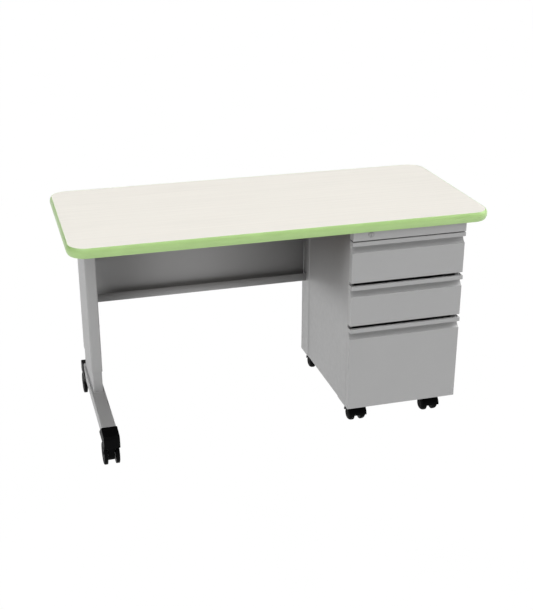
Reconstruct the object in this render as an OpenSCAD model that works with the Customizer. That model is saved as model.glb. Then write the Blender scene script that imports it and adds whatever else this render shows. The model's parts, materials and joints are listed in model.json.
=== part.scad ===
// Teacher desk: a laminate top on one column leg with a castored foot, and a three-drawer steel
// pedestal on four swivel casters, joined by a modesty panel with a cable trough.
// Millimetres, +Z up. X runs along the desk, and the drawers open towards -Y.
// The origin is on the floor, under the middle of the whole desk's footprint.

/* [Desktop] */
// Length of the top, over its edge band
top_w = 1384; // [1200:1:1800]
// Depth of the top, over its edge band
top_d = 622; // [600:1:760]
// Height of the top's upper face above the floor
desk_h = 737; // [730:1:760]
// Thickness of the particleboard core
core_t = 30.5; // [25:0.1:38]
// Thickness of the laminate sheet on the core
laminate_t = 0.9; // [0.7:0.1:1.5]
// Thickness of the backer sheet under the core
backer_t = 0.6; // [0.4:0.1:1.2]
// Thickness of the edge band at its middle
band_t = 7; // [2:0.5:8]
// How far the band's face bulges
band_bulge = 6; // [1:0.5:7]
// Radius of the top's four corners
corner_r = 62; // [20:1:120]

/* [Column leg] */
// Middle of the leg, in from the top's left end
leg_inset = 90; // [60:0.1:120]
// Column, measured along the desk
column_w = 36.5; // [30:0.5:50]
// Column, measured from front to back
column_d = 225; // [120:1:260]
// Front of the column, behind the top's front edge
column_setback = 258; // [180:1:300]
// Height of the sleeve's lower end
sleeve_z = 204; // [180:1:260]
// Wall of the sleeve, the insert and the foot tube
tube_t = 2; // [1.5:0.1:3]
// Foot tube, measured along the desk
foot_w = 46; // [40:1:60]
// Height of the foot tube itself
foot_h = 42.3; // [30:0.1:50]
// Height of the foot tube's upper face
foot_top = 128.6; // [120:0.1:140]
// Front end of the foot tube, behind the top's front edge
foot_setback = 10; // [0:1:40]
// Length of the foot tube along its upper face
foot_l = 486; // [460:1:560]

/* [Leg casters] */
// How far the front end cap reaches past the tube
cap_reach = 56; // [45:1:60]
// Radius of the leg's wheels
foot_wheel_r = 37.5; // [34:0.5:37.5]
// Width of each of the leg's wheels
foot_wheel_w = 12.5; // [10:0.5:14]
// Distance from the swivel stem back to the axle
foot_trail = 15; // [10:1:20]

/* [Pedestal] */
// Width of the pedestal
case_w = 394; // [390:1:420]
// Depth of the pedestal, from the drawer faces to its back
case_d = 520.5; // [520:0.5:540]
// Pedestal's right side, in from the top's right end
case_inset = 88; // [40:1:120]
// Clear height under the pedestal
case_z = 66; // [66:0.5:70]
// Drawer faces, behind the top's front edge
face_setback = 18.5; // [8:0.5:25]
// Depth of the drawer fronts and of the top rail
front_t = 25; // [25:0.5:28]
// Thickness of the pedestal's sheet steel
sheet_t = 1.2; // [0.8:0.1:1.5]

/* [Drawers] */
// Distance from one drawer to the next
drawer_pitch = 152.4; // [152:0.1:153]
// Gap between two drawer fronts
drawer_gap = 10; // [8:0.5:11]
// Height of the pull lip along each front's top
lip_h = 14; // [10:0.5:16]
// How far the pull lip stands ahead of the face
lip_out = 4; // [2:0.5:6]
// How far the lip's upper fold reaches behind the face
lip_fold = 6; // [4:0.5:20]
// Depth of the finger recess under the lip
recess_d = 18; // [12:0.5:19]
// How far a drawer pulls out
drawer_travel = 430; // [300:5:430]

/* [Pedestal casters] */
// Radius of the pedestal's wheels
wheel_r = 25; // [23:0.5:25]
// Width of each of the pedestal's wheels
wheel_w = 21; // [18:0.5:22]
// Distance from the swivel stem to the axle
trail = 15; // [12:1:18]

/* [Hidden] */
$fn = 64;

// Colours
laminate_white = [0.92, 0.91, 0.88];
band_green = [0.67, 0.80, 0.52];
board_tan = [0.76, 0.64, 0.46];
steel_grey = [0.66, 0.66, 0.65];
zinc = [0.75, 0.77, 0.80];
plastic_black = [0.06, 0.06, 0.06];

// Places along Y. The front end cap and the top's back edge are the outermost points.
cap_overhang = cap_reach - foot_setback;
front_y = cap_overhang - (top_d + cap_overhang) / 2;
face_y = front_y + face_setback;
bumper_gap = 1;
case_y0 = face_y + front_t + bumper_gap;
case_y1 = face_y + case_d;
column_y0 = front_y + column_setback;
column_y1 = column_y0 + column_d;
foot_y0 = front_y + foot_setback;
foot_y1 = foot_y0 + foot_l;

// Places along X
leg_x = leg_inset - top_w / 2;
case_x1 = top_w / 2 - case_inset;
case_x0 = case_x1 - case_w;
case_mid = (case_x0 + case_x1) / 2;

// Heights
top_t = core_t + laminate_t + backer_t;
top_z = desk_h - top_t;

// Column leg
plate_t = 4;
plate_w = 90;
plate_d = 300;
insert_play = 0.2;
insert_w = column_w - 2 * tube_t - 2 * insert_play;
insert_d = column_d - 2 * tube_t - 2 * insert_play;
insert_top = 470;
bolt_d = 8;
bolt_pitch = 101.6;
bolt_z = 250;
bolt_y = 60;
nut_w = 13;
nut_t = 6.5;

// Leg casters
mitre = 60;
cap_w = foot_w + 6;
cap_floor = 79;
cap_drop = 6;
cap_round = 14;
stem_reach = 18;
foot_stem_d = 11;
foot_stem_z = 60;
foot_stem_l = 55;
foot_axle_d = 8;
fork_w = 20;
fork_r = 24;
foot_wheel_gap = 3;
foot_axle_l = fork_w + 2 * (foot_wheel_gap + foot_wheel_w - 3);
run_fit = 0.1;

// Pedestal case
flange_w = 16;
step_in = 2.5;
step_front = case_y0 + 75;
step_back = case_y1 - 77;
step_run = 6;
base_t = 1.5;
rail_drop = 31.5;
reveal = 3.5;

// Drawers: two box drawers and one file drawer
first_top = top_z - rail_drop - reveal;
box_h = drawer_pitch - drawer_gap;
file_h = first_top - 2 * drawer_pitch - case_z - sheet_t;
function drawer_top(i) = first_top - i * drawer_pitch;
function drawer_h(i) = i < 2 ? box_h : file_h;
function tray_z(i) = drawer_top(i) - drawer_h(i) + (i < 2 ? 12 : 24);
function tray_h(i) = i < 2 ? 100 : 240;
function slide_z(i) = tray_z(i) + (i < 2 ? 42 : 110);
tray_t = 1.2;
tray_l = 475;

// Finger recess: an arc whose centre is in front of the metal
recess_h = 24;
recess_r = 30;
chord = [recess_d, recess_h];
arc_mid = [recess_d / 2, -lip_h - recess_h / 2];
arc_rise = sqrt(recess_r * recess_r - chord * chord / 4);
arc_centre = arc_mid + arc_rise * [-recess_h, recess_d] / norm(chord);
arc_from = atan2(-lip_h - arc_centre[1], recess_d - arc_centre[0]);
arc_to = atan2(-lip_h - recess_h - arc_centre[1], -arc_centre[0]);

// Slides: distances in from the case's outer side
post_in = step_in + sheet_t;
slide_in = 17.2;
slide_t = 12.7;
slide_l = 450;
slide_y0 = case_y0 + 26;
post_w = 30;
tray_x0 = case_x0 + slide_in + slide_t;
tray_w = case_w - 2 * (slide_in + slide_t);
tray_y0 = case_y0 - bumper_gap;

// Lock
lock_x = case_x0 + 60;
lock_z = top_z - 12.5;
lock_face_y = face_y - lip_out;
barrel_d = 17;
barrel_l = 26;
plug_d = 12;
cam_r = 6;
cam_t = 2.5;
cam_z = barrel_l + 2;
cam_pin_d = 3;
cam_pin_l = 9;
slot_play = 1.2;
bar_in = 4.5;
bar_t = 2;
bar_w = 14;
bar_y0 = case_y0 + 6;
catch_up = 38;
catch_h = 6;
tab_h = 4;
tab_gap = 2;

// Modesty panel
panel_y = front_y + 525;
trough_d = 29;
trough_z = 359;
trough_lip = 30;
panel_x0 = leg_x + column_w / 2 + 3.5;
panel_x1 = case_x0 - 0.5;
bracket_t = 3;
bracket_z0 = 500;
bracket_z1 = 680;
bracket_leg = 36;
bracket_lap = 40;
bracket_rows = [530, 650];
panel_back = panel_y + sheet_t;
column_screw_y = column_y1 - bracket_lap / 2;
case_screw_y = case_y1 - 5;
stud_in = 20;

// Pedestal casters, as [X, Y, side of the stem that the wheels trail to]
hood_w = 62.7;
web_w = 15.5;
wheel_spacing = hood_w - wheel_w;
stem_d = 8;
stem_z = wheel_r + 22;
axle_d = 6;
front_stem_y = case_y0 + 39;
back_stem_y = case_y1 - 54;
left_stem_x = case_x0 + 48.5;
right_stem_x = case_x1 - 75;
STEMS = [
    [left_stem_x, front_stem_y, -1], [right_stem_x, front_stem_y, -1],
    [left_stem_x, back_stem_y, 1], [right_stem_x, back_stem_y, 1]
];

// Screws up into the core
screw_d = 4.5;
screw_bite = 22;
head_d = 9;
head_h = 3;
plate_screws = [for (x = [-35, 35]) for (y = [-130, 0, 130])
    [leg_x + x, column_y0 + column_d / 2 + y, top_z - plate_t]];
case_screws = [for (x = [case_x0 + 45, case_x1 - 45]) for (y = [case_y0 + 60, case_y1 - 60])
    [x, y, top_z - sheet_t]];
panel_top_screws = [for (k = [0:3])
    [panel_x0 + 60 + k * (panel_x1 - panel_x0 - 120) / 3, panel_y + 11, top_z - sheet_t]];
all_top_screws = concat(plate_screws, case_screws, panel_top_screws);

// ---------------------------------------------------------------- shared shapes

// A rectangle with round corners, centred
module round_rect(w, d, r) {
    square([w - 2 * r, d], center = true);
    square([w, d - 2 * r], center = true);
    for (x = [-1, 1]) for (y = [-1, 1])
        translate([x * (w / 2 - r), y * (d / 2 - r)]) circle(r = r);
}

// The outline of the top, drawn in by a margin
module top_outline(margin) {
    translate([0, front_y + top_d / 2])
        round_rect(top_w - 2 * margin, top_d - 2 * margin, corner_r - margin);
}

// A rectangular tube of round corners, standing on z = 0
module box_tube(w, d, h, wall, r) {
    linear_extrude(h) difference() {
        round_rect(w, d, r);
        round_rect(w - 2 * wall, d - 2 * wall, r - wall / 2);
    }
}

// A cylinder along X, centred on its middle
module x_rod(d, l) {
    rotate([0, 90, 0]) cylinder(d = d, h = l, center = true);
}

// A shape drawn as [Y, Z], extruded along X from 0
module extrude_x(l) {
    rotate([90, 0, 90]) linear_extrude(l) children();
}

// Pilot holes for all the screws under the top
module screw_holes() {
    for (s = all_top_screws)
        translate([s[0], s[1], s[2] - 1]) cylinder(d = screw_d, h = screw_bite + plate_t + 1);
}

// Mirrors its child to the pedestal's other side
module both_sides() {
    children();
    translate([2 * case_mid, 0, 0]) mirror([1, 0, 0]) children();
}

// ---------------------------------------------------------------- desktop

module top_core() {
    color(board_tan) difference() {
        translate([0, 0, top_z + backer_t]) linear_extrude(core_t) top_outline(band_t);
        screw_holes();
    }
}

module top_laminate() {
    color(laminate_white)
        translate([0, 0, desk_h - laminate_t]) linear_extrude(laminate_t) top_outline(band_t);
}

module top_backer() {
    color(board_tan) difference() {
        translate([0, 0, top_z]) linear_extrude(backer_t) top_outline(band_t);
        screw_holes();
    }
}

// The band across its length, from its inner face outwards: its outer face is a shallow arc
module band_profile() {
    base = band_t - band_bulge;
    r = (top_t * top_t / 4 + band_bulge * band_bulge) / (2 * band_bulge);
    square([base, top_t]);
    intersection() {
        translate([base, 0]) square([band_bulge, top_t]);
        translate([band_t - r, top_t / 2]) circle(r = r);
    }
}

// Runs all the way round the board, flush with the laminate: each turn adds one side and the
// corner after it
module edge_band() {
    color(band_green) translate([0, front_y + top_d / 2, top_z]) for (k = [0:3]) {
        across = k % 2 == 0 ? top_w : top_d;
        along = k % 2 == 0 ? top_d : top_w;
        rotate([0, 0, 90 * k]) {
            translate([across / 2 - band_t, along / 2 - corner_r, 0])
                rotate([90, 0, 0]) linear_extrude(along - 2 * corner_r) band_profile();
            translate([across / 2 - corner_r, along / 2 - corner_r, 0])
                rotate_extrude(angle = 90) translate([corner_r - band_t, 0]) band_profile();
        }
    }
}

// Pan-head wood screws that hold the leg, the pedestal and the panel under the top
module top_screws() {
    color(zinc) for (s = all_top_screws) translate(s) {
        translate([0, 0, -head_h]) cylinder(d = head_d, h = head_h);
        cylinder(d = screw_d, h = screw_bite);
    }
}

// ---------------------------------------------------------------- column leg

module at_column() {
    translate([leg_x, column_y0 + column_d / 2, 0]) children();
}

// Every place for a height bolt, as a rod through the inner wall of the column
module bolt_rods(count, d) {
    for (k = [0:count - 1]) for (y = [-bolt_y, bolt_y])
        translate([leg_x + column_w / 2, column_y0 + column_d / 2 + y, bolt_z + k * bolt_pitch])
            x_rod(d, 30);
}

// Rods through the holes of the brackets, the column and the pedestal's side
module bracket_rods() {
    for (z = bracket_rows) {
        translate([leg_x + column_w / 2, column_screw_y, z]) x_rod(screw_d, 12);
        translate([case_x0, case_screw_y, z]) x_rod(screw_d, 12);
        for (x = [panel_x0 + stud_in, panel_x1 - stud_in])
            translate([x, panel_back, z]) rotate([-90, 0, 0]) cylinder(d = screw_d, h = 12);
    }
}

module leg_sleeve() {
    color(steel_grey) difference() {
        at_column() translate([0, 0, sleeve_z])
            box_tube(column_w, column_d, top_z - plate_t - sleeve_z, tube_t, 5);
        bolt_rods(2, bolt_d);
        bracket_rods();
    }
}

// Slides in the sleeve, and is bolted at one of two heights. The nuts are welded inside.
module leg_insert() {
    color(steel_grey) difference() {
        union() {
            at_column() translate([0, 0, foot_top])
                box_tube(insert_w, insert_d, insert_top - foot_top, tube_t, 4);
            for (k = [0:2]) for (y = [-bolt_y, bolt_y])
                at_column() translate([insert_w / 2 - tube_t - nut_t / 2, y, bolt_z + k * bolt_pitch])
                    rotate([0, 90, 0]) cylinder(d = nut_w, h = nut_t, center = true, $fn = 6);
        }
        bolt_rods(3, bolt_d);
    }
}

module leg_top_plate() {
    color(steel_grey) difference() {
        at_column() translate([0, 0, top_z - plate_t])
            linear_extrude(plate_t) round_rect(plate_w, plate_d, 12);
        for (s = plate_screws) translate([s[0], s[1], s[2] - 1]) cylinder(d = screw_d, h = plate_t + 2);
    }
}

module height_bolts() {
    bolt_l = 14;
    color(zinc) for (k = [0:1]) for (y = [-bolt_y, bolt_y])
        at_column() translate([column_w / 2, y, bolt_z + k * bolt_pitch]) rotate([0, 90, 0]) {
            translate([0, 0, -bolt_l]) cylinder(d = bolt_d, h = bolt_l);
            cylinder(d = nut_w, h = 5, $fn = 6);
        }
}

// The foot's side view, with both ends mitred back at the bottom
module foot_side() {
    polygon([
        [foot_y0, foot_top], [foot_y1, foot_top],
        [foot_y1 - mitre, foot_top - foot_h], [foot_y0 + mitre, foot_top - foot_h]
    ]);
}

module foot_tube() {
    color(steel_grey) intersection() {
        translate([leg_x, foot_y0, foot_top - foot_h / 2]) rotate([-90, 0, 0])
            box_tube(foot_w, foot_h, foot_l, tube_t, 4);
        translate([leg_x - foot_w, 0, 0]) extrude_x(2 * foot_w) foot_side();
    }
}

// Puts a shape that points forwards at the foot's front end, or mirrored at its rear end
module at_foot_end(rear) {
    translate([leg_x, rear ? foot_y1 : foot_y0, 0]) mirror([0, rear ? 1 : 0, 0]) children();
}

// Where the leg's caster stems stand; both casters trail towards the back
function foot_stem_y(rear) = rear ? foot_y1 + stem_reach : foot_y0 - stem_reach;

module at_foot_stem(rear) {
    translate([leg_x, foot_stem_y(rear), 0]) children();
}

// End cap: fills the mitre, carries the caster's stem and plugs into the tube
module foot_cap(rear) {
    round_y = cap_round - cap_reach;
    round_z = foot_top - cap_drop - cap_round;
    plug_clear = tube_t + 1.2;
    plug_l = 80;
    color(plastic_black) difference() {
        at_foot_end(rear) {
            translate([-cap_w / 2, 0, 0]) extrude_x(cap_w) polygon(concat(
                [[mitre, cap_floor], [mitre, foot_top - foot_h], [0, foot_top]],
                [for (a = [90:-15:0]) [round_y, round_z] + cap_round * [-cos(a), sin(a)]],
                [[-cap_reach, cap_floor]]
            ));
            translate([plug_clear - foot_w / 2, mitre / 4, foot_top - foot_h + plug_clear])
                cube([foot_w - 2 * plug_clear, plug_l, foot_h - 2 * plug_clear]);
        }
        at_foot_stem(rear) translate([0, 0, foot_stem_z])
            cylinder(d = foot_stem_d + run_fit, h = foot_stem_l + 1);
    }
}

// Swivel body that stands between the two wheels
module foot_fork(rear) {
    neck_top = cap_floor - 0.5;
    block_h = neck_top - 4 - foot_wheel_r;
    color(plastic_black) at_foot_stem(rear) difference() {
        union() {
            translate([0, foot_trail, foot_wheel_r]) x_rod(2 * fork_r, fork_w);
            translate([-fork_w / 2, -fork_w / 2, foot_wheel_r]) cube([fork_w, 34, block_h]);
            translate([0, 0, foot_wheel_r]) cylinder(d = fork_w, h = neck_top - foot_wheel_r);
        }
        translate([0, 0, foot_stem_z]) cylinder(d = foot_stem_d, h = foot_stem_l);
        translate([0, foot_trail, foot_wheel_r]) x_rod(foot_axle_d, 2 * fork_w);
    }
}

// Swivel stem and axle pin of one of the leg's casters
module foot_pins(rear) {
    color(zinc) at_foot_stem(rear) {
        translate([0, 0, foot_stem_z]) cylinder(d = foot_stem_d, h = foot_stem_l);
        translate([0, foot_trail, foot_wheel_r]) x_rod(foot_axle_d, foot_axle_l);
    }
}

// A wheel about X, its inner face at x = 0, with a round outer shoulder and a blind bore
module wheel(r, w, shoulder, bore_d, bore_l) {
    bevel = 3;
    rotate([0, 90, 0]) rotate_extrude() polygon(concat(
        [[bore_d / 2, 0], [r - bevel, 0], [r, bevel]],
        [for (a = [0:15:90]) [r - shoulder * (1 - cos(a)), w - shoulder * (1 - sin(a))]],
        [[0, w], [0, bore_l], [bore_d / 2, bore_l]]
    ));
}

module foot_wheels(rear) {
    inner = fork_w / 2 + foot_wheel_gap;
    color(plastic_black) at_foot_stem(rear) translate([0, foot_trail, foot_wheel_r])
        for (side = [0, 1]) mirror([side, 0, 0]) translate([inner, 0, 0])
            wheel(foot_wheel_r, foot_wheel_w, 3, foot_axle_d + run_fit, foot_wheel_w - 2);
}

// ---------------------------------------------------------------- modesty panel

// One folded sheet: a flange under the top, the panel, the trough's floor and its front lip
module modesty_panel() {
    lip = panel_y - trough_d;
    color(steel_grey) difference() {
        translate([panel_x0, 0, 0]) extrude_x(panel_x1 - panel_x0) polygon([
            [panel_y, top_z], [panel_back + 20, top_z], [panel_back + 20, top_z - sheet_t],
            [panel_back, top_z - sheet_t], [panel_back, trough_z], [lip, trough_z],
            [lip, trough_z + trough_lip], [lip + sheet_t, trough_z + trough_lip],
            [lip + sheet_t, trough_z + sheet_t], [panel_y, trough_z + sheet_t]
        ]);
        for (s = panel_top_screws) translate([s[0], s[1], s[2] - 1]) cylinder(d = screw_d, h = 4);
    }
}

// Two angles behind the panel's ends: one on the column's inner face, one on the pedestal's side
module modesty_brackets() {
    h = bracket_z1 - bracket_z0;
    column_x = leg_x + column_w / 2;
    color(steel_grey) difference() {
        union() {
            translate([column_x, column_y1 - bracket_lap, bracket_z0])
                cube([bracket_t, panel_back + bracket_t - column_y1 + bracket_lap, h]);
            translate([column_x, panel_back, bracket_z0]) cube([bracket_leg, bracket_t, h]);
            translate([case_x0 - bracket_t, panel_back, bracket_z0])
                cube([bracket_t, case_y1 - panel_back, h]);
            translate([case_x0 - bracket_leg, panel_back, bracket_z0]) cube([bracket_leg, bracket_t, h]);
        }
        bracket_rods();
    }
}

// A button-head screw along +Z, its head under z = 0
module button_screw(l) {
    translate([0, 0, -head_h]) cylinder(d = head_d, h = head_h);
    cylinder(d = screw_d, h = l);
}

// Screws into the column and the pedestal, and studs on the panel's back with their nuts
module panel_screws() {
    color(zinc) for (z = bracket_rows) {
        translate([leg_x + column_w / 2 + bracket_t, column_screw_y, z]) rotate([0, -90, 0])
            button_screw(bracket_t + tube_t);
        translate([case_x0 - bracket_t, case_screw_y, z]) rotate([0, 90, 0])
            button_screw(bracket_t + sheet_t);
        for (x = [panel_x0 + stud_in, panel_x1 - stud_in])
            translate([x, panel_back, z]) rotate([-90, 0, 0]) {
                cylinder(d = screw_d, h = bracket_t + head_h + 2);
                translate([0, 0, bracket_t]) cylinder(d = head_d, h = head_h, $fn = 6);
            }
    }
}

// ---------------------------------------------------------------- pedestal case

// A side panel in plan: a front flange, and a middle stepped in between two folds
module side_plan() {
    t = sheet_t;
    y_end = case_y1 - t;
    translate([case_x0, 0]) polygon([
        [0, case_y0], [0, step_front], [step_in, step_front + step_run],
        [step_in, step_back - step_run], [0, step_back], [0, y_end],
        [t, y_end], [t, step_back], [step_in + t, step_back - step_run],
        [step_in + t, step_front + step_run], [t, step_front], [t, case_y0 + t],
        [flange_w, case_y0 + t], [flange_w, case_y0]
    ]);
}

module case_side() {
    translate([0, 0, case_z]) linear_extrude(top_z - case_z) side_plan();
}

module case_left() {
    color(steel_grey) difference() {
        case_side();
        bracket_rods();
    }
}

module case_right() {
    color(steel_grey) translate([2 * case_mid, 0, 0]) mirror([1, 0, 0]) case_side();
}

module case_back() {
    color(steel_grey) translate([case_x0, case_y1 - sheet_t, case_z])
        cube([case_w, sheet_t, top_z - case_z]);
}

// Floor of the case, with an upturned front edge
module case_base() {
    side_gap = step_in + sheet_t;
    inner_w = case_w - 2 * side_gap;
    inner_d = case_y1 - 2 * sheet_t - case_y0;
    color(steel_grey) difference() {
        union() {
            translate([case_x0 + side_gap, case_y0 + sheet_t, case_z])
                cube([inner_w, inner_d, base_t]);
            translate([case_x0 + flange_w, case_y0, case_z])
                cube([case_w - 2 * flange_w, sheet_t, 14]);
        }
        for (s = STEMS) translate([s[0], s[1], case_z - 1]) cylinder(d = 13, h = base_t + 2);
    }
}

// Sheet that closes the case and is screwed to the underside of the top
module case_top() {
    side_gap = step_in + sheet_t;
    color(steel_grey) difference() {
        translate([case_x0 + side_gap, case_y0 + sheet_t, top_z - sheet_t])
            cube([case_w - 2 * side_gap, case_y1 - 2 * sheet_t - case_y0, sheet_t]);
        for (s = case_screws) translate([s[0], s[1], s[2] - 1]) cylinder(d = screw_d, h = 4);
    }
}

// Folded rail across the front above the drawers, which carries the lock
module top_rail() {
    front = lock_face_y;
    depth = case_y0 - front;
    color(steel_grey) difference() {
        translate([case_x0, front, top_z - rail_drop]) cube([case_w, depth, rail_drop]);
        translate([case_x0 + sheet_t, front + sheet_t, top_z - rail_drop + sheet_t])
            cube([case_w - 2 * sheet_t, depth, rail_drop - 2 * sheet_t]);
        translate([lock_x, front, lock_z]) rotate([90, 0, 0]) cylinder(d = barrel_d, h = 10, center = true);
    }
}

// Four channels inside the case sides that carry the slides
module slide_posts() {
    wall = 1.5;
    h = top_z - sheet_t - case_z - base_t;
    depth = slide_in - post_in;
    color(zinc) both_sides() for (y = [step_front + 12, step_back - 12 - post_w])
        translate([case_x0 + post_in, y, case_z + base_t]) difference() {
            cube([depth, post_w, h]);
            translate([-wall, wall, -1]) cube([depth, post_w - 2 * wall, h + 2]);
        }
}

// ---------------------------------------------------------------- lock

// A shape drawn towards +Z, turned to point to the back at the lock's place
module at_lock() {
    translate([lock_x, lock_face_y, lock_z]) rotate([-90, 0, 0]) children();
}

module lock_barrel() {
    color(zinc) at_lock() difference() {
        union() {
            translate([0, 0, -2]) cylinder(d = barrel_d + 2, h = 2);
            cylinder(d = barrel_d, h = barrel_l);
        }
        translate([0, 0, -3]) cylinder(d = plug_d + run_fit, h = barrel_l + 4);
    }
}

module lock_plug() {
    color(zinc) at_lock() difference() {
        translate([0, 0, -2.5]) cylinder(d = plug_d, h = cam_z + 2.5);
        translate([-0.8, -4, -3]) cube([1.6, 8, 8]);
    }
}

// Disc on the plug's inner end; its pin stands low on the left and lifts the bar
module lock_cam() {
    y = cam_r * sin(45);
    color(zinc) at_lock() {
        translate([0, 0, cam_z]) cylinder(r = cam_r + 3, h = cam_t);
        translate([-y, y, cam_z]) cylinder(d = cam_pin_d, h = cam_t + cam_pin_l);
    }
}

// Upright bar in the case's front left corner, with a slotted arm for the cam's pin and a tab
// for each drawer. At rest each tab stands just under its tray's catch.
module lock_bar() {
    pin_x = lock_x - cam_r * sin(45);
    pin_z = lock_z - cam_r * sin(45);
    arm_half = cam_pin_d / 2 + slot_play / 2 + 2.3;
    bar_z0 = slide_z(2) + catch_up - tab_gap - tab_h - 12;
    x = case_x0 + bar_in;
    color(zinc) {
        translate([x, bar_y0, bar_z0]) cube([bar_t, bar_w, pin_z + arm_half - bar_z0]);
        difference() {
            translate([x, bar_y0, pin_z - arm_half]) cube([pin_x + 8 - x, bar_t, 2 * arm_half]);
            translate([pin_x - 5, bar_y0 - 1, pin_z - (cam_pin_d + slot_play) / 2])
                cube([8, bar_t + 2, cam_pin_d + slot_play]);
        }
        for (i = [0:2])
            translate([x, bar_y0, slide_z(i) + catch_up - tab_gap - tab_h])
                cube([tray_x0 - 3 - x, bar_w, tab_h]);
    }
}

// ---------------------------------------------------------------- drawers

// The recess's curve, as [depth behind the face, height under the drawer's top]; grow moves the
// curve into the metal
function recess_arc(grow) = [for (k = [0:8])
    let (a = arc_from + (arc_to - arc_from) * k / 8)
    arc_centre + (recess_r + grow) * [cos(a), sin(a)]];
function reversed(list) = [for (k = [len(list) - 1:-1:0]) list[k]];

// Outer outline of a drawer front from the side, starting where its upper fold ends
function front_outer(h, fold) = concat(
    [[fold, 0], [-lip_out, 0], [-lip_out, -lip_h]], recess_arc(0), [[0, -h], [front_t, -h]]);

// The same sheet's inner face, back from the bottom to the top
function front_inner(h, t) = concat(
    [[front_t, t - h], [t, t - h], [t, -lip_h - recess_h - t / 2]],
    [for (p = reversed(recess_arc(t))) if (p[0] > t) p],
    [[recess_d + t, t - lip_h], [t - lip_out, t - lip_h], [t - lip_out, -t], [lip_fold, -t]]);

// A folded steel pan: lip, finger recess and face in one sheet, with closed ends. It is open
// above behind the lip's fold.
module drawer_front(i) {
    h = drawer_h(i);
    t = sheet_t;
    color(steel_grey) translate([case_x0, face_y, drawer_top(i)]) {
        extrude_x(case_w) polygon(concat(front_outer(h, lip_fold), front_inner(h, t)));
        for (x = [0, case_w - t]) translate([x, 0, 0]) extrude_x(t) polygon(front_outer(h, front_t));
    }
}

// Open steel box behind the front, with the catch for the lock bar on its left side
module drawer_tray(i) {
    t = tray_t;
    h = tray_h(i);
    color(steel_grey) {
        translate([tray_x0, tray_y0, tray_z(i)]) difference() {
            cube([tray_w, tray_l, h]);
            translate([t, t, t]) cube([tray_w - 2 * t, tray_l - 2 * t, h]);
        }
        translate([tray_x0 - 8, bar_y0 + bar_w + 4, slide_z(i) + catch_up]) cube([8.5, 6, catch_h]);
    }
}

// A slide member: a web along Y and two flanges, from x0 to x1 in from the case's side.
// web_first says whether the web is at x0 or at x1.
module slide_member(i, x0, x1, h, t, web_first) {
    both_sides() translate([case_x0 + x0, slide_y0, slide_z(i) - h / 2]) difference() {
        cube([x1 - x0, slide_l, h]);
        translate([web_first ? t : -t, -1, t]) cube([x1 - x0, slide_l + 2, h - 2 * t]);
    }
}

module slide_rails() {
    color(zinc) for (i = [0:2]) slide_member(i, slide_in, slide_in + 10.3, 45, 1.5, true);
}

module slide_middles(i) {
    color(zinc) slide_member(i, slide_in + 3.5, slide_in + 9.3, 37, 1.2, true);
}

module slide_runners(i) {
    color(zinc) slide_member(i, slide_in + 5.8, slide_in + slide_t, 29, 1.5, false);
}

// Moulded tray that hangs from the first drawer's sides: one long well and three short ones
module pencil_tray() {
    depth = 28;
    wall = 2;
    l = 112;
    play = 0.5;
    in_w = tray_w - 2 * tray_t - 2 * play;
    well_w = (in_w - 4 * wall) / 3;
    rim_z = tray_z(0) + tray_h(0);
    color(plastic_black) translate([tray_x0 + tray_t + play, tray_y0 + tray_t + play, 0]) difference() {
        union() {
            translate([0, 0, rim_z - depth]) cube([in_w, l, depth]);
            translate([-tray_t - play, 0, rim_z]) cube([tray_w, l, wall]);
        }
        translate([wall, wall, rim_z - depth + wall]) cube([in_w - 2 * wall, 48, depth + wall]);
        for (k = [0:2]) translate([wall + k * (well_w + wall), 50 + wall, rim_z - depth + wall])
            cube([well_w, l - 50 - 2 * wall, depth + wall]);
    }
}

// Two rails that letter-size hanging files hook over
module file_rails() {
    spacing = 318;
    rail_t = 2;
    rail_h = 14;
    color(zinc) for (side = [-1, 1])
        translate([case_mid + side * spacing / 2 - rail_t / 2, tray_y0 + tray_t,
                   tray_z(2) + tray_h(2) - rail_h])
            cube([rail_t, tray_l - 2 * tray_t, rail_h]);
}

// ---------------------------------------------------------------- pedestal casters

// Flanged bushings in the base that the casters' stems turn in
module caster_bushings() {
    color(zinc) for (s = STEMS) translate([s[0], s[1], case_z]) difference() {
        union() {
            cylinder(d = 13, h = 16);
            translate([0, 0, base_t]) cylinder(d = 24, h = 3);
        }
        translate([0, 0, -1]) cylinder(d = stem_d + run_fit, h = 18);
    }
}

module at_stem(k) {
    translate([STEMS[k][0], STEMS[k][1], 0]) mirror([0, STEMS[k][2] < 0 ? 1 : 0, 0]) children();
}

// Twin-wheel hood: a fender over both wheels, a web between them and a neck for the stem
module caster_hood(k) {
    hood_r = wheel_r + 5;
    neck_z = wheel_r + 16;
    color(plastic_black) at_stem(k) difference() {
        union() {
            intersection() {
                translate([0, trail, wheel_r]) x_rod(2 * hood_r, hood_w);
                translate([-hood_w / 2, trail - hood_r, wheel_r + 1]) cube([hood_w, 2 * hood_r, hood_r]);
            }
            translate([0, trail, wheel_r]) x_rod(18, web_w);
            translate([0, 0, neck_z]) cylinder(d = 24, h = case_z - 0.3 - neck_z);
        }
        for (side = [0, 1]) mirror([side, 0, 0])
            translate([web_w / 2 + 20, trail, wheel_r]) x_rod(2 * wheel_r + 4, 40);
        translate([0, trail, wheel_r]) x_rod(axle_d, hood_w);
        translate([0, 0, stem_z]) cylinder(d = stem_d, h = case_z);
    }
}

// Swivel stem and axle pin of one caster
module caster_pins(k) {
    color(zinc) at_stem(k) {
        translate([0, 0, stem_z]) cylinder(d = stem_d, h = case_z + 15 - stem_z);
        translate([0, trail, wheel_r]) x_rod(axle_d, wheel_spacing + 8);
    }
}

module caster_wheels(k) {
    inner = (wheel_spacing - wheel_w) / 2;
    color(plastic_black) at_stem(k) translate([0, trail, wheel_r])
        for (side = [0, 1]) mirror([side, 0, 0]) translate([inner, 0, 0])
            wheel(wheel_r, wheel_w, 12, axle_d + run_fit, wheel_w / 2 + 5);
}

// ---------------------------------------------------------------- nodes

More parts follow.
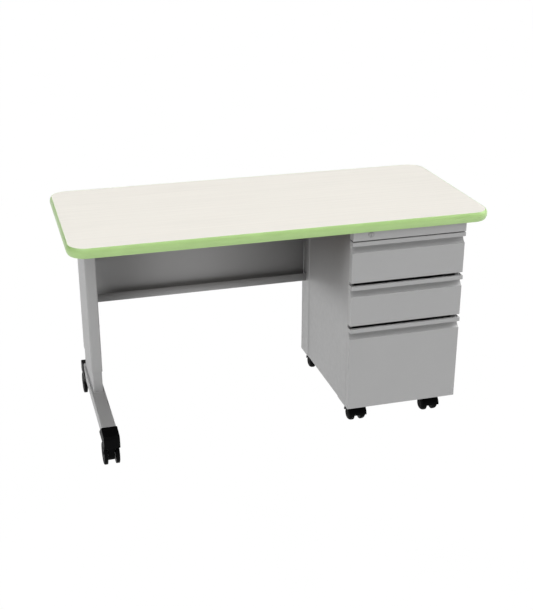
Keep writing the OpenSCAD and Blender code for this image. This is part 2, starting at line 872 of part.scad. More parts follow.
top_core();
top_laminate();
top_backer();
edge_band();
top_screws();
leg_sleeve();
leg_insert();
leg_top_plate();
height_bolts();
foot_tube();
foot_cap(false);  // foot_cap_front
foot_cap(true);  // foot_cap_rear
foot_fork(false);  // foot_fork_front
foot_fork(true);  // foot_fork_rear
foot_pins(false);  // foot_pins_front
foot_pins(true);  // foot_pins_rear
foot_wheels(false);  // foot_wheels_front
foot_wheels(true);  // foot_wheels_rear
modesty_panel();
modesty_brackets();
panel_screws();
case_left();
case_right();
case_back();
case_base();
case_top();
top_rail();
slide_posts();
lock_barrel();
lock_plug();
lock_cam();
lock_bar();
drawer_front(0);  // drawer_front_1
drawer_front(1);  // drawer_front_2
drawer_front(2);  // drawer_front_3
drawer_tray(0);  // drawer_tray_1
drawer_tray(1);  // drawer_tray_2
drawer_tray(2);  // drawer_tray_3
slide_rails();
slide_middles(0);  // slide_middles_1
slide_middles(1);  // slide_middles_2
slide_middles(2);  // slide_middles_3
slide_runners(0);  // slide_runners_1
slide_runners(1);  // slide_runners_2
slide_runners(2);  // slide_runners_3
pencil_tray();
file_rails();
caster_bushings();
caster_hood(0);  // caster_hood_fl
caster_hood(1);  // caster_hood_fr
caster_hood(2);  // caster_hood_bl
caster_hood(3);  // caster_hood_br
caster_pins(0);  // caster_pins_fl
caster_pins(1);  // caster_pins_fr
caster_pins(2);  // caster_pins_bl
caster_pins(3);  // caster_pins_br
caster_wheels(0);  // caster_wheels_fl
caster_wheels(1);  // caster_wheels_fr
caster_wheels(2);  // caster_wheels_bl
caster_wheels(3);  // caster_wheels_br
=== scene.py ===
# The looks of a teacher desk: its finishes, and its visible pieces in full detail, around the packed
# CAD frame. Metres, in the CAD's frame: +X runs along the desk, the drawers open towards -Y, +Z is up.
import json
from math import asin, cos, degrees, pi, radians, sin, sqrt, tan

import bmesh
import bpy
from mathutils import Euler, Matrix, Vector


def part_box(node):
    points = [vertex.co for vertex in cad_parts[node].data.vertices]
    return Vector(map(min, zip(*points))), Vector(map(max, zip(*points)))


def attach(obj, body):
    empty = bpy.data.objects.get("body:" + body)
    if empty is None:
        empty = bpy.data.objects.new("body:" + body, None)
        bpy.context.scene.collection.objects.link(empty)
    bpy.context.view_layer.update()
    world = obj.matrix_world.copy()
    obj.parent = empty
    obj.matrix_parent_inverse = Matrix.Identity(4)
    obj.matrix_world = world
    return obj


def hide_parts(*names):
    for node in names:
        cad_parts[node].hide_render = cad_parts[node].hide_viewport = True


MM = 0.001
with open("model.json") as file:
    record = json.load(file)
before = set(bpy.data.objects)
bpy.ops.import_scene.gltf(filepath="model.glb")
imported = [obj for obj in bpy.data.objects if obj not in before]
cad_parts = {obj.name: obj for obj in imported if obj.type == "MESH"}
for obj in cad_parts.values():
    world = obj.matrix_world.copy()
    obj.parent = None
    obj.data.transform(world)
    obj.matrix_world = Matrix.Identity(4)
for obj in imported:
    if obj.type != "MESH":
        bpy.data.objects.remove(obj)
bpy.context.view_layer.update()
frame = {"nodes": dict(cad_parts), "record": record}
bodies = frame["record"]["behaviour"]["bodies"]
BODY_OF = {node: body for body, nodes in bodies.items() for node in nodes}
SLOT_OF = {part["node"]: part["material_slot"] for part in frame["record"]["subparts"]}

# Sizes that a node's box doesn't give
SHEET = 1.2 * MM
CORNER_R = 62 * MM
BAND = 7 * MM
BAND_BULGE = 6 * MM
LIP_H = 14 * MM
LIP_OUT = 4 * MM
LIP_FOLD = 6 * MM
RECESS_D = 18 * MM
RECESS_H = 24 * MM
RECESS_R = 30 * MM


# ---------------------------------------------------------------- outlines

def arc(centre, radius, start, end, steps):
    """Points on a circle, from one angle in degrees to another, both ends included."""
    angles = [radians(start + (end - start) * k / steps) for k in range(steps + 1)]
    return [(centre[0] + radius * cos(a), centre[1] + radius * sin(a)) for a in angles]


def rounded(corners, steps=4):
    """An outline's points. A corner is (a, b), or (a, b, radius) for one that is rounded."""
    points = []
    for k, corner in enumerate(corners):
        here = Vector(corner[:2])
        if len(corner) == 2:
            points.append(tuple(here))
            continue
        radius = corner[2]
        back = (Vector(corners[k - 1][:2]) - here).normalized()
        onward = (Vector(corners[(k + 1) % len(corners)][:2]) - here).normalized()
        half = back.angle(onward) / 2
        centre = here + (back + onward).normalized() * (radius / sin(half))
        start = here + back * (radius / tan(half)) - centre
        end = here + onward * (radius / tan(half)) - centre
        turn = start.angle(end)
        for step in range(steps + 1):
            share = step / steps
            spoke = start * sin((1 - share) * turn) + end * sin(share * turn)
            points.append(tuple(centre + spoke / sin(turn)))
    return points


# ---------------------------------------------------------------- shapes

def place(axis, along, a, b):
    """A point from its place along an axis and its two places across, in X, Y, Z order."""
    return {"x": (along, a, b), "y": (a, along, b), "z": (a, b, along)}[axis]


def draw_out(shape, outline, axis, low, high, closed=True):
    """Draws an outline out along an axis: a solid, or a bare sheet when it isn't closed."""
    near = [shape.verts.new(place(axis, low, *point)) for point in outline]
    far = [shape.verts.new(place(axis, high, *point)) for point in outline]
    count = len(outline)
    for k in range(count if closed else count - 1):
        j = (k + 1) % count
        shape.faces.new((near[k], near[j], far[j], far[k]))
    if closed:
        shape.faces.new(near[::-1])
        shape.faces.new(far)


def pan(shape, outline, low, high, corner=()):
    """An outline of (Y, Z) points drawn out along X with closed ends, open between its last point
    and its first. The ends may take in one more corner there."""
    near = [shape.verts.new((low, *point)) for point in outline]
    far = [shape.verts.new((high, *point)) for point in outline]
    for k in range(len(outline) - 1):
        shape.faces.new((near[k], near[k + 1], far[k + 1], far[k]))
    if corner:
        near.append(shape.verts.new((low, *corner)))
        far.append(shape.verts.new((high, *corner)))
    shape.faces.new(near[::-1])
    shape.faces.new(far)


def turn(shape, profile, centre, axis, closed=False, start=0, sweep=360, segments=48):
    """Turns a profile of (place along the axis, radius) points about an axis through centre."""
    whole = sweep == 360
    count = segments if whole else segments + 1
    across = {"x": (1, 2), "y": (0, 2), "z": (0, 1)}[axis]
    origin = centre["xyz".index(axis)]
    a, b = centre[across[0]], centre[across[1]]
    rings = []
    for along, radius in profile:
        if radius == 0:
            rings.append([shape.verts.new(place(axis, origin + along, a, b))] * count)
            continue
        angles = [radians(start + sweep * k / segments) for k in range(count)]
        circle = [(a + radius * cos(t), b + radius * sin(t)) for t in angles]
        rings.append([shape.verts.new(place(axis, origin + along, *point)) for point in circle])
    for one, two in zip(rings, rings[1:] + (rings[:1] if closed else [])):
        for k in range(segments):
            j = (k + 1) % count
            corners = list(dict.fromkeys((one[k], one[j], two[j], two[k])))
            if len(corners) > 2:
                shape.faces.new(corners)
    if not whole:
        shape.faces.new([ring[0] for ring in rings])
        shape.faces.new([ring[-1] for ring in rings])


def soften(piece, width, segments=2):
    """Rounds a piece's edges off and shades its flat faces flat."""
    bevel = piece.modifiers.new("rounded_edges", "BEVEL")
    bevel.width = width
    bevel.segments = segments
    bevel.limit_method = "ANGLE"
    bevel.angle_limit = radians(40)
    bevel.use_clamp_overlap = True
    shading = piece.modifiers.new("flat_faces", "WEIGHTED_NORMAL")
    shading.keep_sharp = False


def make(name, shape, stands_for, bevel=0.0, segments=2, wall=0.0, outward=True):
    """A finished piece from a shape. It stands for CAD nodes, rides on their body and takes their slot.
    A wall is a bare sheet's thickness, added on the side that its faces look to."""
    if outward:
        bmesh.ops.recalc_face_normals(shape, faces=shape.faces)
    mesh = bpy.data.meshes.new(name)
    shape.to_mesh(mesh)
    shape.free()
    mesh.shade_smooth()
    mesh.set_sharp_from_angle(angle=radians(35))
    piece = bpy.data.objects.new(name, mesh)
    bpy.context.scene.collection.objects.link(piece)
    slot = SLOT_OF[stands_for[0]]
    mesh.materials.append(FINISHES[slot])
    if wall:
        thickness = piece.modifiers.new("sheet", "SOLIDIFY")
        thickness.thickness = wall
        thickness.offset = 1
        thickness.use_even_offset = True
    if bevel:
        soften(piece, bevel, segments)
    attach(piece, BODY_OF[stands_for[0]])
    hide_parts(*stands_for)
    return piece


# ---------------------------------------------------------------- finishes

class Finish:
    """A material under construction: a Principled shader and the texture nodes that feed it."""

    def __init__(self, name, roughness, metallic=0.0, **sockets):
        self.material = bpy.data.materials.new(name)
        self.material.use_nodes = True
        self.tree = self.material.node_tree
        self.shader = next(n for n in self.tree.nodes if n.type == "BSDF_PRINCIPLED")
        self.shader.inputs["Roughness"].default_value = roughness
        self.shader.inputs["Metallic"].default_value = metallic
        for socket, value in sockets.items():
            self.shader.inputs[socket.replace("_", " ")].default_value = value
        self.place = self.tree.nodes.new("ShaderNodeTexCoord").outputs["Object"]
        self.heights = []

    def node(self, kind, **inputs):
        made = self.tree.nodes.new("ShaderNode" + kind)
        for name, value in inputs.items():
            socket = made.inputs[name.replace("_", " ")]
            if isinstance(value, bpy.types.NodeSocket):
                self.tree.links.new(value, socket)
            else:
                socket.default_value = value
        return made

    def stretched(self, x, y, z):
        """Object coordinates scaled by a factor on each axis."""
        return self.node("Mapping", Vector=self.place, Scale=(x, y, z)).outputs["Vector"]

    def noise(self, scale, detail=3.0, roughness=0.5, at=None):
        return self.node("TexNoise", Vector=at or self.place, Scale=scale, Detail=detail,
                         Roughness=roughness).outputs["Fac"]

    def cells(self, scale, output="Color", at=None):
        return self.node("TexVoronoi", Vector=at or self.place, Scale=scale).outputs[output]

    def ramp(self, fac, *stops):
        """A colour ramp through (position, colour) stops; a plain number stands for a grey."""
        made = self.node("ValToRGB", Fac=fac)
        elements = made.color_ramp.elements
        while len(elements) < len(stops):
            elements.new(0.5)
        for element, (position, colour) in zip(elements, stops):
            element.position = position
            element.color = (colour,) * 3 + (1,) if isinstance(colour, (int, float)) else (*colour, 1)
        return made.outputs["Color"]

    def spread(self, fac, low, high, at=(0.3, 0.7)):
        """A texture's middle range stretched to run from low to high."""
        made = self.node("MapRange", Value=fac, From_Min=at[0], From_Max=at[1], To_Min=low, To_Max=high)
        return made.outputs["Result"]

    def mix(self, fac, one, two):
        """Two colours mixed by a factor."""
        made = self.tree.nodes.new("ShaderNodeMix")
        made.data_type = "RGBA"
        for socket, value in ((made.inputs[0], fac), (made.inputs[6], one), (made.inputs[7], two)):
            if isinstance(value, bpy.types.NodeSocket):
                self.tree.links.new(value, socket)
            elif isinstance(value, tuple):
                socket.default_value = (*value, 1)
            else:
                socket.default_value = value
        return made.outputs[2]

    def colour(self, socket):
        self.tree.links.new(socket, self.shader.inputs["Base Color"])

    def gloss(self, fac, low, high, at=(0.3, 0.7)):
        """Roughness that a texture moves between two values."""
        self.tree.links.new(self.spread(fac, low, high, at), self.shader.inputs["Roughness"])

    def bump(self, height, depth):
        """Adds relief of a depth in metres over any that is there."""
        made = self.node("Bump", Height=height, Distance=depth, Strength=1.0)
        if self.heights:
            self.tree.links.new(self.heights[-1], made.inputs["Normal"])
        self.heights.append(made.outputs["Normal"])
        self.tree.links.new(self.heights[-1], self.shader.inputs["Normal"])


def shade(colour, factor):
    return tuple(min(1.0, c * factor) for c in colour)


def laminate():
    """Off-white laminate: long, very faint grain, a fine satin texture."""
    base = (0.800, 0.772, 0.715)
    f = Finish("laminate", 0.4, Coat_Weight=0.08, Coat_Roughness=0.35)
    grain = f.noise(1.0, 6.0, 0.62, at=f.stretched(2.2, 95, 95))
    streaks = f.noise(1.0, 3.0, 0.5, at=f.stretched(0.9, 24, 24))
    colour = f.ramp(grain, (0.36, shade(base, 0.955)), (0.52, base), (0.68, shade(base, 1.03)))
    colour = f.mix(f.spread(streaks, 0.0, 0.35), colour, shade(base, 0.965))
    f.colour(colour)
    f.gloss(grain, 0.36, 0.46)
    f.bump(f.noise(1400, 2.0), 0.00002)
    f.bump(grain, 0.00003)
    return f.material


def edge_band():
    """Light green extruded plastic band with faint lines along it."""
    base = (0.415, 0.620, 0.239)
    f = Finish("edge_band", 0.38, Coat_Weight=0.1, Coat_Roughness=0.3)
    lines = f.noise(1.0, 2.0, at=f.stretched(3, 3, 1300))
    cloud = f.noise(14, 3.0)
    colour = f.ramp(cloud, (0.3, shade(base, 0.955)), (0.7, shade(base, 1.03)))
    f.colour(colour)
    f.gloss(cloud, 0.33, 0.44)
    f.bump(lines, 0.00002)
    f.bump(f.noise(2200, 2.0), 0.000015)
    return f.material


def core_board():
    """Particleboard: pressed chips of two sizes with resin-dark gaps."""
    base = (0.42, 0.27, 0.13)
    f = Finish("core_board", 0.85)
    chips = f.cells(380, at=f.stretched(1, 1, 2.2))
    grey = f.node("RGBToBW", Color=chips).outputs["Val"]
    colour = f.ramp(grey, (0.2, shade(base, 0.55)), (0.5, base), (0.85, shade(base, 1.6)))
    f.colour(f.mix(0.35, colour, f.ramp(f.noise(1500, 4.0), (0.35, shade(base, 0.5)), (0.65, base))))
    f.bump(grey, 0.0003)
    f.bump(f.noise(2400, 4.0), 0.0002)
    return f.material


def backer():
    """Brown phenolic backer sheet with a faint paper grain."""
    base = (0.085, 0.050, 0.030)
    f = Finish("backer", 0.55)
    paper = f.noise(1.0, 4.0, at=f.stretched(6, 180, 180))
    f.colour(f.ramp(paper, (0.35, shade(base, 0.8)), (0.65, shade(base, 1.25))))
    f.gloss(paper, 0.5, 0.65)
    f.bump(f.noise(1800, 3.0), 0.00003)
    return f.material


def powder_coat(name, base, texture=1.0):
    """Grey powder coat: a fine orange peel, slight mottling and a satin sheen."""
    f = Finish(name, 0.5, Coat_Weight=0.12, Coat_Roughness=0.4)
    cloud = f.noise(5.5, 4.0, 0.55)
    speck = f.noise(1900, 2.0)
    colour = f.ramp(cloud, (0.3, shade(base, 0.985)), (0.7, shade(base, 1.012)))
    colour = f.mix(f.spread(speck, 0.0, 0.10), colour, shade(base, 1.25))
    f.colour(colour)
    f.gloss(f.noise(60, 3.0), 0.44, 0.56)
    f.bump(f.noise(620, 2.0, 0.45), 0.00005 * texture)
    f.bump(speck, 0.00002 * texture)
    return f.material


def zinc_steel():
    """Bright zinc plate: a fine spangle, rolling lines and uneven gloss."""
    base = (0.50, 0.515, 0.53)
    f = Finish("zinc_steel", 0.32, metallic=1.0)
    spangle = f.node("RGBToBW", Color=f.cells(260)).outputs["Val"]
    rolled = f.noise(1.0, 3.0, at=f.stretched(900, 12, 900))
    colour = f.ramp(spangle, (0.2, shade(base, 0.86)), (0.8, shade(base, 1.12)))
    f.colour(f.mix(f.spread(rolled, 0.0, 0.3), colour, shade(base, 0.8)))
    f.gloss(spangle, 0.24, 0.42, at=(0.2, 0.8))
    f.bump(rolled, 0.00003)
    return f.material


def lock_chrome():
    """Satin chrome with fine turning marks about the lock's own axis."""
    base = (0.30, 0.30, 0.295)
    f = Finish("lock_chrome", 0.25, metallic=1.0)
    middle = (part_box("lock_barrel")[0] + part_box("lock_barrel")[1]) / 2
    offset = f.node("VectorMath", Vector=f.place)
    offset.operation = "SUBTRACT"
    offset.inputs[1].default_value = (middle.x, 0, middle.z)
    flat = f.node("Mapping", Vector=offset.outputs[0], Scale=(1, 0, 1)).outputs["Vector"]
    rings = f.node("TexWave", Vector=flat, Scale=900, Distortion=0.6, Detail=2.0)
    rings.wave_type = "RINGS"
    rings.rings_direction = "SPHERICAL"
    f.colour(f.ramp(f.noise(400, 2.0), (0.3, shade(base, 0.92)), (0.7, shade(base, 1.04))))
    f.gloss(rings.outputs["Fac"], 0.18, 0.34, at=(0.0, 1.0))
    f.bump(rings.outputs["Fac"], 0.00001)
    return f.material


def moulded(name, base, roughness, grain, scuff=0.0):
    """Moulded plastic: a fine leather-like grain, with scuffed and polished patches."""
    f = Finish(name, roughness, Specular_IOR_Level=0.04)
    patch = f.noise(45, 4.0, 0.6)
    f.colour(f.ramp(patch, (0.35, shade(base, 0.85)), (0.70, shade(base, 1.3 + scuff))))
    f.gloss(patch, roughness - 0.07, roughness + 0.10)
    f.bump(f.cells(grain, "Distance"), 0.00004)
    f.bump(f.noise(grain * 0.6, 2.0), 0.00003)
    return f.material


def studio_white():
    """Evenly glowing white that takes no light or shade, so that outlines against it stay clean."""
    f = Finish("studio_white", 0.9, Specular_IOR_Level=0.0, Emission_Color=(1, 1, 1, 1),
               Emission_Strength=1.0)
    f.colour(f.ramp(f.noise(3.0, 2.0), (0.3, 0.000), (0.7, 0.003)))
    return f.material


FINISHES = {
    "laminate": laminate(),
    "edge_band": edge_band(),
    "core_board": core_board(),
    "backer": backer(),
    "powder_coat": powder_coat("powder_coat", (0.377, 0.377, 0.377)),
    "drawer_steel": powder_coat("drawer_steel", (0.356, 0.356, 0.356), texture=0.7),
    "zinc_steel": zinc_steel(),
    "lock_chrome": lock_chrome(),
    "black_nylon": moulded("black_nylon", (0.0022, 0.0022, 0.0024), 0.48, 1700),
    "wheel_nylon": moulded("wheel_nylon", (0.0020, 0.0020, 0.0022), 0.42, 2300, scuff=0.5),
    "tray_plastic": moulded("tray_plastic", (0.016, 0.016, 0.017), 0.42, 1500),
}


# ---------------------------------------------------------------- desktop

def top_outline(inset):
    """The top's rounded rectangle, drawn in by an inset, as a loop of (X, Y) points."""
    low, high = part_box("edge_band")
    radius = CORNER_R - inset
    loop = []
    corners = ((high.x, high.y), (low.x, high.y), (low.x, low.y), (high.x, low.y))
    for quarter, (x, y) in enumerate(corners):
        side_x = -1 if quarter in (0, 3) else 1
        side_y = -1 if quarter in (0, 1) else 1
        centre = (x + side_x * CORNER_R, y + side_y * CORNER_R)
        loop += arc(centre, radius, 90 * quarter, 90 * quarter + 90, 14)
    return loop


def loft_top(shape, profile, closed):
    """A skin through the top's outline at each (inset, height) of a profile."""
    rings = [[shape.verts.new((x, y, z)) for x, y in top_outline(inset)] for inset, z in profile]
    for one, two in zip(rings, rings[1:] + (rings[:1] if closed else [])):
        for k in range(len(one)):
            j = (k + 1) % len(one)
            shape.faces.new((one[k], one[j], two[j], two[k]))
    return rings


def laminate_sheet():
    """The sheet on the board, flush with the band, with a filed edge."""
    low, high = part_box("top_laminate")
    edge = 0.3 * MM
    shape = bmesh.new()
    profile = [(BAND, low.z), (BAND, high.z - edge * 0.5), (BAND + edge * 0.5, high.z)]
    rings = loft_top(shape, profile, closed=False)
    shape.faces.new(rings[0][::-1])
    shape.faces.new(rings[-1])
    make("desktop_laminate", shape, ["top_laminate"])


def band():
    """Edge band, whose outer face bulges in a shallow arc."""
    low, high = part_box("edge_band")
    half = (high.z - low.z) / 2
    radius = (half ** 2 + BAND_BULGE ** 2) / (2 * BAND_BULGE)
    lean = degrees(asin(half / radius))
    face = arc((radius, low.z + half), radius, 180 + lean, 180 - lean, 16)
    shape = bmesh.new()
    profile = [(BAND, low.z), *face, (BAND, high.z)]
    loft_top(shape, profile, closed=True)
    make("desktop_band", shape, ["edge_band"])


# ---------------------------------------------------------------- column leg

def foot_cap(end, side):
    """Moulded end cap: a sloping top with a round brow over the caster, and a mitred back."""
    low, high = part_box("foot_cap_" + end)
    tube_low, tube_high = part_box("foot_tube")
    tip = tube_low.y if side < 0 else tube_high.y
    nose = low.y if side < 0 else high.y
    mitre, drop, brow = 60 * MM, 6 * MM, 14 * MM
    curve = [(nose - side * brow * (1 - cos(radians(a))), high.z - drop - brow * (1 - sin(radians(a))))
             for a in range(90, -1, -6)]
    outline = [(tip - side * mitre, low.z), (tip - side * mitre, tube_low.z), (tip, high.z), *curve,
               (nose, low.z)]
    shape = bmesh.new()
    draw_out(shape, outline, "x", low.x, high.x)
    make(f"foot_cap_{end}_shell", shape, ["foot_cap_" + end], bevel=2.2 * MM, segments=3)


def foot_fork(end):
    """Swivel body of a leg caster: a rounded web between the wheels and a collared neck."""
    low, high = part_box("foot_fork_" + end)
    wheels_low, wheels_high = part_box("foot_wheels_" + end)
    axle = (wheels_low + wheels_high) / 2
    stem_r, block_half, block_l, block_drop = 5.5 * MM, 10 * MM, 24 * MM, 4 * MM
    neck_h, collar_h, collar_step = 19 * MM, 14 * MM, 1 * MM
    stem_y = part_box("foot_pins_" + end)[0].y + stem_r
    radius, block_top = axle.z - low.z, high.z - block_drop
    block_y = stem_y + block_l
    lean = sqrt(radius ** 2 - (block_y - axle.y) ** 2)
    start = 90 - (block_y - axle.y) / radius * 57
    outline = [(stem_y - block_half, axle.z), (stem_y - block_half, block_top), (block_y, block_top),
               (block_y, axle.z + lean), *arc((axle.y, axle.z), radius, start, -180, 28)]
    shape = bmesh.new()
    draw_out(shape, outline, "x", low.x, high.x)
    neck_r = block_half - collar_step
    neck = [(0, 0), (0, block_half), (collar_h, block_half), (collar_h + collar_step, neck_r),
            (neck_h, neck_r), (neck_h, 0)]
    turn(shape, neck, (axle.x, stem_y, high.z - neck_h), "z")
    make(f"foot_fork_{end}_body", shape, ["foot_fork_" + end], bevel=1.2 * MM)


def wheel_profile(radius, width, hub_r, outer_shoulder, inner_shoulder):
    """Half-section of a wheel from its inner face to its outer one: tread, dished face and hub."""
    dish, edge = 1.8 * MM, 0.5 * MM
    rim = radius - outer_shoulder - 1.5 * MM
    inner = arc((inner_shoulder, radius - inner_shoulder), inner_shoulder, 180, 90, 5)
    outer = arc((width - outer_shoulder, radius - outer_shoulder), outer_shoulder, 90, 0, 8)
    face = [(width, rim), (width - edge, rim - edge), (width - dish, rim - 1.6 * MM),
            (width - dish, hub_r + 1.2 * MM), (width - dish / 2, hub_r),
            (width - edge, hub_r - 0.6 * MM), (width - 0.3 * MM, 0)]
    return [(0, 0), *inner, *outer, *face]


def wheel_pair(node, width, hub_r, outer_shoulder, inner_shoulder):
    """Both wheels of a caster, mirrored about its middle."""
    low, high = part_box(node)
    middle = (low + high) / 2
    radius = (high.z - low.z) / 2
    shape = bmesh.new()
    for side in (-1, 1):
        profile = wheel_profile(radius, width, hub_r, outer_shoulder, inner_shoulder)
        inner_x = middle.x + side * ((high.x - low.x) / 2 - width)
        turn(shape, [(side * x, r) for x, r in profile], (inner_x, middle.y, middle.z), "x", segments=64)
    make(node + "_pair", shape, [node])


# ---------------------------------------------------------------- pedestal

def folded_steel(name, shape, node):
    """A piece of folded sheet: its edges are rounded first, and then its thickness goes inwards."""
    piece = make(name, shape, [node], outward=False)
    soften(piece, 0.7 * MM, segments=3)
    thickness = piece.modifiers.new("sheet", "SOLIDIFY")
    thickness.thickness = SHEET
    thickness.offset = -1
    piece.modifiers.move(2, 1)


def recess_curve(face_y, top_z):
    """The finger recess's concave arc, from its top down to the face."""
    chord = sqrt(RECESS_D ** 2 + RECESS_H ** 2)
    rise = sqrt(RECESS_R ** 2 - chord ** 2 / 4)
    centre = (RECESS_D / 2 - rise * RECESS_H / chord, -LIP_H - RECESS_H / 2 + rise * RECESS_D / chord)
    spokes = [Vector((RECESS_D - centre[0], -LIP_H - centre[1])),
              Vector((-centre[0], -LIP_H - RECESS_H - centre[1]))]
    start, end = (-Vector((1, 0)).angle(spoke) * 180 / pi for spoke in spokes)
    return arc((face_y + centre[0], top_z + centre[1]), RECESS_R, start, end, 10)


def drawer_front(number):
    """Folded pan: pull lip, concave finger recess and a flat face with rounded edges."""
    node = f"drawer_front_{number}"
    low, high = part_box(node)
    face_y = low.y + LIP_OUT
    curve = recess_curve(face_y, high.z)
    outline = [(face_y + LIP_FOLD, high.z), (low.y, high.z, 1.3 * MM), (low.y, high.z - LIP_H, 1.3 * MM),
               (face_y + RECESS_D, high.z - LIP_H, 1.6 * MM), *curve[1:-1], (*curve[-1], 1.0 * MM),
               (face_y, low.z, 1.6 * MM), (high.y, low.z)]
    shape = bmesh.new()
    pan(shape, rounded(outline), low.x, high.x, corner=(high.y, high.z))
    shape.normal_update()
    folded_steel(node + "_pan", shape, node)


def top_rail():
    """Folded rail above the drawers."""
    low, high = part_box("top_rail")
    fold = 1.8 * MM
    outline = [(high.y, high.z), (low.y, high.z, fold), (low.y, low.z, fold), (high.y, low.z)]
    shape = bmesh.new()
    pan(shape, rounded(outline), low.x, high.x)
    folded_steel("top_rail_fold", shape, "top_rail")


def cut(piece, shape):
    """Cuts a shape out of a piece for good."""
    bmesh.ops.recalc_face_normals(shape, faces=shape.faces)
    mesh = bpy.data.meshes.new("cutter")
    shape.to_mesh(mesh)
    shape.free()
    cutter = bpy.data.objects.new("cutter", mesh)
    bpy.context.scene.collection.objects.link(cutter)
    boolean = piece.modifiers.new("cut", "BOOLEAN")
    boolean.object = cutter
    boolean.solver = "EXACT"
    bpy.context.view_layer.update()
    evaluated = piece.evaluated_get(bpy.context.evaluated_depsgraph_get())
    result = bpy.data.meshes.new_from_object(evaluated)
    piece.modifiers.remove(boolean)
    piece.data = result
    result.set_sharp_from_angle(angle=radians(35))
    bpy.data.objects.remove(cutter)


def lock():
    """Barrel with a raised, rounded rim, and a plug with a key slot."""
    low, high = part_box("lock_barrel")
    middle = (low + high) / 2
    rim_r, barrel_r, plug_r = (high.x - low.x) / 2, 8.5 * MM, 6 * MM
    rim, bore_r, chamfer = 2 * MM, plug_r + 0.3 * MM, 0.4 * MM
    shape = bmesh.new()
    section = rounded([(0, bore_r, chamfer), (0, rim_r, 0.9 * MM), (rim, rim_r),
                       (rim, barrel_r), (high.y - low.y, barrel_r), (high.y - low.y, bore_r)])
    turn(shape, section, (middle.x, low.y, middle.z), "y", closed=True, segments=64)
    make("lock_barrel_turned", shape, ["lock_barrel"])

    low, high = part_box("lock_plug")
    slot_w, slot_h, slot_d = 1.6 * MM, 8 * MM, 4 * MM
    shape = bmesh.new()
    profile = [(0, 0), (0, plug_r - chamfer), (chamfer, plug_r), (high.y - low.y, plug_r),
               (high.y - low.y, 0)]
    turn(shape, profile, (middle.x, low.y, middle.z), "y", segments=64)
    plug = make("lock_plug_turned", shape, ["lock_plug"])
    cutter_shape = bmesh.new()
    slot = [(middle.x + a * slot_w / 2, middle.z + b * slot_h / 2)
            for a, b in ((-1, -1), (1, -1), (1, 1), (-1, 1))]
    draw_out(cutter_shape, slot, "y", low.y - slot_d, low.y + slot_d)
    cut(plug, cutter_shape)


def caster_hood(key):
    """Twin-wheel hood: a thin fender over both wheels, a web between them, a boss and a neck."""
    node = "caster_hood_" + key
    low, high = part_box(node)
    wheels_low, wheels_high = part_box("caster_wheels_" + key)
    axle = (wheels_low + wheels_high) / 2
    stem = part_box("caster_pins_" + key)
    wheel_r = axle.z
    fender_r, gap_r = wheel_r + 5 * MM, wheel_r + 2 * MM
    half_w, web, boss_r, chamfer = (high.x - low.x) / 2, 7.75 * MM, 9 * MM, 0.6 * MM
    stem_r, neck_r, neck_edge = 4 * MM, 12 * MM, 1 * MM
    stem_y = stem[0].y + stem_r if axle.y > (low.y + high.y) / 2 else stem[1].y - stem_r
    shape = bmesh.new()
    fender = rounded([(-half_w, gap_r, 0.8 * MM), (-half_w, fender_r, 1.6 * MM),
                      (half_w, fender_r, 1.6 * MM), (half_w, gap_r, 0.8 * MM)], steps=3)
    turn(shape, fender, axle, "x", closed=True, start=2, sweep=176, segments=36)
    middle = [(-web, 8 * MM), (-web, gap_r + 0.5 * MM), (web, gap_r + 0.5 * MM), (web, 8 * MM)]
    turn(shape, middle, axle, "x", closed=True, start=2, sweep=176, segments=36)
    boss = [(-web, 0), (-web, boss_r - chamfer), (chamfer - web, boss_r), (web - chamfer, boss_r),
            (web, boss_r - chamfer), (web, 0)]
    turn(shape, boss, axle, "x")
    neck_z = wheel_r + 16 * MM
    neck_h = high.z - neck_z
    neck = [(0, 0), (0, neck_r), (neck_h - neck_edge, neck_r), (neck_h, neck_r - neck_edge), (neck_h, 0)]
    turn(shape, neck, (axle.x, stem_y, neck_z), "z")
    make(node + "_shell", shape, [node])


def case_side(node, outward):
    """Side panel in one sheet: a front flange, and a middle stepped in between two soft folds."""
    low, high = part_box(node)
    edge = low.x if outward < 0 else high.x
    step, run, front, back = 2.5 * MM, 6 * MM, 75 * MM, 77 * MM
    fold, soft = 1.8 * MM, 5 * MM
    flange = edge - outward * 16 * MM
    stepped = edge - outward * step
    rear = high.y + SHEET
    path = [(flange, low.y), (edge, low.y, fold), (edge, low.y + front, soft),
            (stepped, low.y + front + run, soft), (stepped, rear - back - run, soft),
            (edge, rear - back, soft), (edge, high.y)]
    points = rounded(path)
    if outward > 0:
        points = points[::-1]
    shape = bmesh.new()
    draw_out(shape, points, "z", low.z, high.z, closed=False)
    make(node + "_sheet", shape, [node], wall=SHEET, outward=False)


def modesty_panel():
    """Modesty panel in one sheet: a top flange, the panel, the trough's floor and its lip."""
    low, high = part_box("modesty_panel")
    fold, flange_l, trough_lip = 2.2 * MM, 20 * MM, 30 * MM
    panel_y, flange_z = high.y - flange_l, high.z - SHEET
    path = [(high.y, flange_z), (panel_y, flange_z, fold), (panel_y, low.z, fold), (low.y, low.z, fold),
            (low.y, low.z + trough_lip)]
    shape = bmesh.new()
    draw_out(shape, rounded(path, steps=5), "x", low.x, high.x, closed=False)
    make("modesty_panel_sheet", shape, ["modesty_panel"], wall=SHEET, outward=False)


# ---------------------------------------------------------------- carried-over CAD nodes

EDGE_WIDTHS = {"drawer_steel": 0.25 * MM, "zinc_steel": 0.3 * MM, "tray_plastic": 0.6 * MM,
               "core_board": 0.1 * MM, "backer": 0.1 * MM}


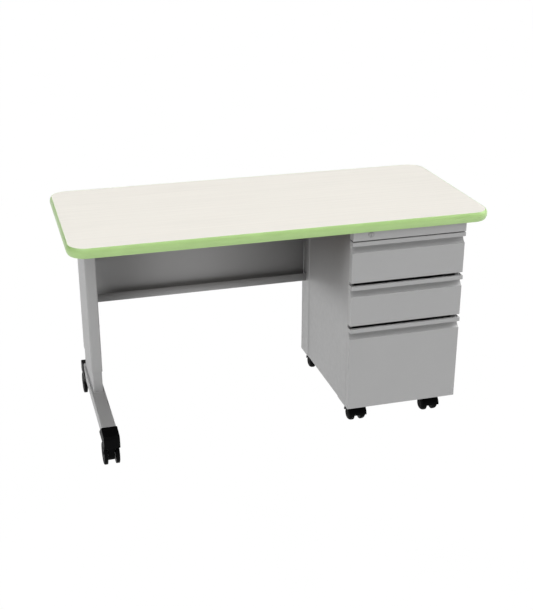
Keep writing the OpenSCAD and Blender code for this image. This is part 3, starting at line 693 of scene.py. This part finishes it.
def finish_cad_nodes():
    """Gives every CAD node its finish, and rounds the edges of those that are shown."""
    for node, piece in frame["nodes"].items():
        slot = SLOT_OF[node]
        for material_slot in piece.material_slots:
            material_slot.material = FINISHES[slot]
        if piece.hide_render:
            continue
        weld = piece.modifiers.new("weld", "WELD")
        weld.merge_threshold = 0.002 * MM
        flatten = piece.modifiers.new("flatten", "DECIMATE")
        flatten.decimate_type = "DISSOLVE"
        flatten.angle_limit = radians(0.5)
        soften(piece, EDGE_WIDTHS.get(slot, 0.4 * MM))


# ---------------------------------------------------------------- studio

def studio_piece(name, shape, finish):
    """A floor or a backdrop: the camera sees it, and it neither lights nor shades the desk."""
    mesh = bpy.data.meshes.new(name)
    shape.to_mesh(mesh)
    shape.free()
    mesh.materials.append(finish)
    piece = bpy.data.objects.new(name, mesh)
    bpy.context.scene.collection.objects.link(piece)
    piece.visible_diffuse = False
    piece.visible_glossy = False
    piece.visible_shadow = False


def studio():
    white = studio_white()
    reach = 30
    floor = bmesh.new()
    bmesh.ops.create_grid(floor, x_segments=24, y_segments=24, size=reach)
    studio_piece("studio_floor", floor, white)
    backdrop = bmesh.new()
    bmesh.ops.create_uvsphere(backdrop, u_segments=48, v_segments=24, radius=reach - 1)
    studio_piece("studio_backdrop", backdrop, white)


def studio_sky():
    """Bright light from below, as off a white floor, and next to none from above."""
    world = bpy.data.worlds.new("studio_sky")
    world.use_nodes = True
    tree = world.node_tree
    split = tree.nodes.new("ShaderNodeSeparateXYZ")
    tree.links.new(tree.nodes.new("ShaderNodeTexCoord").outputs["Generated"], split.inputs["Vector"])
    height = tree.nodes.new("ShaderNodeMapRange")
    height.inputs["From Min"].default_value = -1
    tree.links.new(split.outputs["Z"], height.inputs["Value"])
    level = tree.nodes.new("ShaderNodeValToRGB")
    tree.links.new(height.outputs["Result"], level.inputs["Fac"])
    stops = ((0.0, 0.65), (0.3, 1.0), (0.49, 1.0), (0.51, 0.04))
    for extra in stops[2:]:
        level.color_ramp.elements.new(extra[0])
    for element, (position, grey) in zip(level.color_ramp.elements, stops):
        element.position = position
        element.color = (grey, grey, grey, 1)
    tree.links.new(level.outputs["Color"], tree.nodes["Background"].inputs["Color"])
    tree.nodes["Background"].inputs["Strength"].default_value = 1.146
    bpy.context.scene.world = world


def soft_sun(name, azimuth, strength, height=38, spread=50):
    """A soft distant light: its azimuth goes from +X towards +Y, its height and spread are degrees."""
    lamp = bpy.data.lights.new(name, "SUN")
    lamp.angle = radians(spread)
    lamp.energy = strength
    made = bpy.data.objects.new(name, lamp)
    towards = Vector((cos(radians(azimuth)), sin(radians(azimuth)), tan(radians(height))))
    made.rotation_euler = towards.to_track_quat("Z", "Y").to_euler()
    bpy.context.scene.collection.objects.link(made)


def camera():
    lens = bpy.data.cameras.new("camera")
    lens.lens = 63.19
    lens.sensor_width = 36
    made = bpy.data.objects.new("camera", lens)
    made.location = (-0.9393, -3.3021, 1.8128)
    made.rotation_euler = Euler((radians(90 - 22.806), 0, radians(-15.873)))
    bpy.context.scene.collection.objects.link(made)
    bpy.context.scene.camera = made
    bpy.context.scene.view_settings.view_transform = "Standard"


# ---------------------------------------------------------------- the scene

laminate_sheet()
band()
for end, side in (("front", -1), ("rear", 1)):
    foot_cap(end, side)
    foot_fork(end)
    wheel_pair("foot_wheels_" + end, 12.5 * MM, 7 * MM, 3.5 * MM, 2 * MM)
for number in (1, 2, 3):
    drawer_front(number)
top_rail()
lock()
for key in ("fl", "fr", "bl", "br"):
    caster_hood(key)
    wheel_pair("caster_wheels_" + key, 21 * MM, 6 * MM, 12 * MM, 3 * MM)
case_side("case_left", -1)
case_side("case_right", 1)
modesty_panel()
finish_cad_nodes()
studio()
studio_sky()
soft_sun("front_left", -123, 1.0)
soft_sun("high_left", -140, 0.7, height=58, spread=36)
soft_sun("right", 0, 2.0)
soft_sun("high_right", 30, 1.55, height=62, spread=26)
camera()
